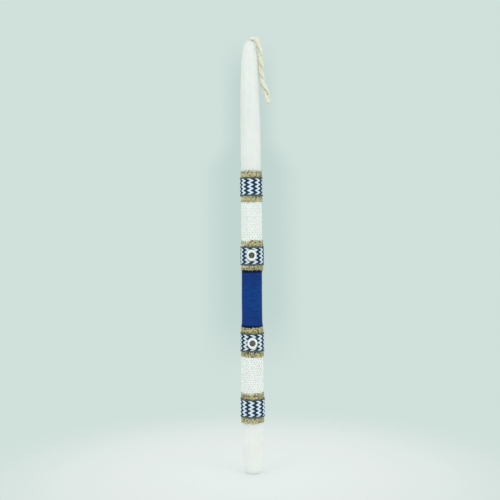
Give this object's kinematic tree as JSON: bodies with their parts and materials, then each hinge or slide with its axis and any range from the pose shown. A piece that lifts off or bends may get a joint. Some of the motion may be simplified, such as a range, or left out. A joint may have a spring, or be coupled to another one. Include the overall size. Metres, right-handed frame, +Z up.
{
  "type": "decorated easter candle",
  "caption": "Tall white taper candle with a twisted wick tail, wrapped in bands of jute, navy zigzag ribbon, lace and blue satin, with eye charms on the front.",
  "frame": {"origin": "centre of the candle's flat foot", "axes": "+Z up the candle's axis to the tip, -Y to the front, where the two eye charms are, +X to the side where the wick tail hangs"},
  "size_m": [0.0292, 0.0257, 0.4024],
  "materials": {
    "wax": "white paraffin wax, satin sheen",
    "cotton": "undyed cotton string, lightly waxed",
    "jute": "open plain weave of natural jute yarn",
    "zigzag_weave": "white woven trim with navy zigzag stripes and navy edges",
    "lace": "white cotton lace",
    "satin": "royal blue polyester satin",
    "tape": "double-sided tissue tape",
    "charm": "polished off-white resin",
    "stone": "faceted smoky grey acrylic",
    "glue": "set hot-melt glue"
  },
  "bodies": {
    "root": {"candle_body": "wax", "wick_core": "cotton", "wick_strand_front": "cotton", "wick_strand_back": "cotton", "lace_wrap_upper": "lace", "satin_wrap": "satin", "lace_wrap_lower": "lace", "eye_ring_upper": "charm", "eye_ring_lower": "charm", "eye_stone_upper": "stone", "eye_stone_lower": "stone", "eye_glue_upper": "glue", "eye_glue_lower": "glue", "jute_ribbon_1": "jute", "zigzag_ribbon_1": "zigzag_weave", "ribbon_tape_1": "tape", "jute_ribbon_2": "jute", "zigzag_ribbon_2": "zigzag_weave", "ribbon_tape_2": "tape", "jute_ribbon_3": "jute", "zigzag_ribbon_3": "zigzag_weave", "ribbon_tape_3": "tape", "jute_ribbon_4": "jute", "zigzag_ribbon_4": "zigzag_weave", "ribbon_tape_4": "tape"}
  },
  "joints": []
}
